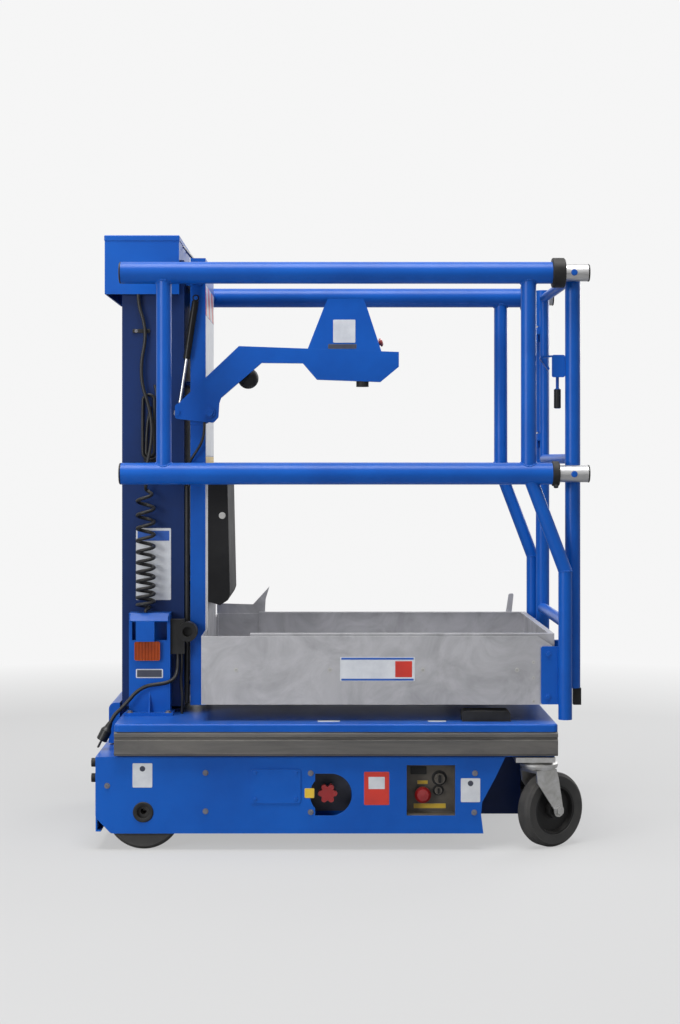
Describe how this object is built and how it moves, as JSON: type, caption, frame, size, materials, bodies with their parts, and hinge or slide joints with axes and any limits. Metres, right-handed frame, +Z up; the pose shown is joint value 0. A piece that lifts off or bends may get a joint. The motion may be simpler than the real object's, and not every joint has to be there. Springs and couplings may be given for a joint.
{
  "type": "vertical mast lift",
  "caption": "Self-propelled platform on a telescopic vertical mast with drive wheels, casters, guard rails, roll-out deck, gate and swinging control arm.",
  "frame": {"origin": "on the floor under the middle of the machine's outline", "axes": "+X from the mast to the casters, +Y to the far side, +Z up"},
  "size_m": [1.232, 0.774, 1.542],
  "materials": {
    "blue_paint": "semi-gloss",
    "control_panel": "matte",
    "red_plastic": "gloss",
    "bumper_rubber": "matte",
    "black_rubber": "matte",
    "zinc_steel": "zinc plated",
    "tyre": "matte",
    "black_plastic": "matte",
    "nylon_pad": "matte",
    "aluminium_sheet": "mill finish",
    "aluminium_tube": "satin",
    "amber_lamp": "gloss",
    "cable_sheath": "matte",
    "black_enamel": "gloss",
    "bright_steel": "polished"
  },
  "bodies": {
    "chassis": {"lower_chassis": "blue_paint", "near_side_panel": "blue_paint", "far_side_panel": "blue_paint", "cover_plate": "blue_paint", "ground_controls": "control_panel", "ground_stop_button": "red_plastic", "release_knob": "red_plastic", "upper_frame": "blue_paint", "top_plate": "blue_paint", "side_bumpers": "bumper_rubber", "wheel_mounts": "zinc_steel", "battery_pack": "black_plastic", "rear_buffers": "black_rubber", "deck_rests": "black_rubber", "inner_mast": "blue_paint", "inner_mast_pads": "nylon_pad", "pillars": "blue_paint", "pillar_lamps": "amber_lamp", "cable_guide": "black_plastic", "curly_cord": "cable_sheath", "mains_lead": "cable_sheath", "mains_plug": "cable_sheath"},
    "near_drive": {"near_drive_wheel": "tyre"},
    "far_drive": {"far_drive_wheel": "tyre"},
    "near_caster": {"near_caster_fork": "zinc_steel"},
    "near_caster_wheel": {"near_caster_tyre": "tyre", "near_caster_hub": "black_plastic"},
    "far_caster": {"far_caster_fork": "zinc_steel"},
    "far_caster_wheel": {"far_caster_tyre": "tyre", "far_caster_hub": "black_plastic"},
    "mast_stage_one": {"stage_one": "blue_paint", "stage_one_pads": "nylon_pad"},
    "mast_stage_two": {"stage_two": "blue_paint", "stage_two_pads": "nylon_pad"},
    "platform": {"outer_mast": "blue_paint", "outer_mast_pads": "nylon_pad", "mast_hood": "blue_paint", "carriage_front": "blue_paint", "slot_hose": "cable_sheath", "back_pad": "black_plastic", "outer_tray": "aluminium_sheet", "side_rails": "blue_paint", "rail_bushes": "black_rubber", "rail_posts": "blue_paint", "rail_legs": "blue_paint", "rail_cross_arms": "blue_paint", "arm_bracket": "blue_paint", "hanging_cable": "cable_sheath"},
    "arm": {"control_arm": "blue_paint", "console": "blue_paint", "console_stop": "red_plastic", "arm_buffers": "black_rubber"},
    "strut_barrel": {"strut_cylinder": "black_enamel"},
    "strut_piston": {"strut_rod": "bright_steel"},
    "deck_extension": {"inner_tray": "aluminium_sheet", "slide_tubes": "aluminium_tube", "extension_frame": "blue_paint", "post_stops": "black_rubber", "gate_latch": "bright_steel"},
    "gate": {"gate_frame": "blue_paint"}
  },
  "joints": [
    {"name": "near_drive_roll", "type": "hinge", "parent": "chassis", "child": "near_drive", "pos_m": [-0.485, -0.33, 0.095], "axis": [0, 1, 0], "continuous": true},
    {"name": "far_drive_roll", "type": "hinge", "parent": "chassis", "child": "far_drive", "pos_m": [-0.485, 0.33, 0.095], "axis": [0, 1, 0], "continuous": true},
    {"name": "near_caster_swivel", "type": "hinge", "parent": "chassis", "child": "near_caster", "pos_m": [0.497, -0.33, 0.21], "axis": [0, 0, 1], "continuous": true},
    {"name": "near_caster_roll", "type": "hinge", "parent": "near_caster", "child": "near_caster_wheel", "pos_m": [0.52803, -0.30985, 0.093], "axis": [-0.5446, 0.8387, 0], "continuous": true},
    {"name": "far_caster_swivel", "type": "hinge", "parent": "chassis", "child": "far_caster", "pos_m": [0.497, 0.33, 0.21], "axis": [0, 0, 1], "continuous": true},
    {"name": "far_caster_roll", "type": "hinge", "parent": "far_caster", "child": "far_caster_wheel", "pos_m": [0.52534, 0.30622, 0.093], "axis": [0.6428, 0.766, 0], "continuous": true},
    {"name": "platform_lift", "type": "slide", "parent": "chassis", "child": "platform", "axis": [0, 0, 1], "range_m": [0, 2.4]},
    {"name": "stage_two_lift", "type": "slide", "parent": "chassis", "child": "mast_stage_two", "axis": [0, 0, 1], "range_m": [0, 1.6]},
    {"name": "stage_one_lift", "type": "slide", "parent": "chassis", "child": "mast_stage_one", "axis": [0, 0, 1], "range_m": [0, 0.8]},
    {"name": "arm_swing", "type": "hinge", "parent": "platform", "child": "arm", "pos_m": [-0.331, -0.2, 1.086], "axis": [0, -1, 0], "range_deg": [0, 37]},
    {"name": "strut_tilt", "type": "hinge", "parent": "platform", "child": "strut_barrel", "pos_m": [-0.367, -0.186, 1.381], "axis": [0, -1, 0], "range_deg": [0, 4.2]},
    {"name": "strut_stroke", "type": "slide", "parent": "strut_barrel", "child": "strut_piston", "axis": [-0.1508, 0, -0.9886], "range_m": [0, 0.048]},
    {"name": "deck_roll_out", "type": "slide", "parent": "platform", "child": "deck_extension", "axis": [1, 0, 0], "range_m": [0, 0.4]},
    {"name": "gate_swing", "type": "hinge", "parent": "deck_extension", "child": "gate", "pos_m": [0.565, 0.2876, 1.2], "axis": [0, 0, -1], "range_deg": [0, 90]}
  ],
  "couplings": [
    {"joint": "stage_two_lift", "follows": "platform_lift", "ratio": 0.66667},
    {"joint": "stage_one_lift", "follows": "platform_lift", "ratio": 0.33333},
    {"joint": "strut_tilt", "follows": "arm_swing", "ratio": 0.1054},
    {"joint": "strut_stroke", "follows": "arm_swing", "m_per_rad": 0.072}
  ]
}
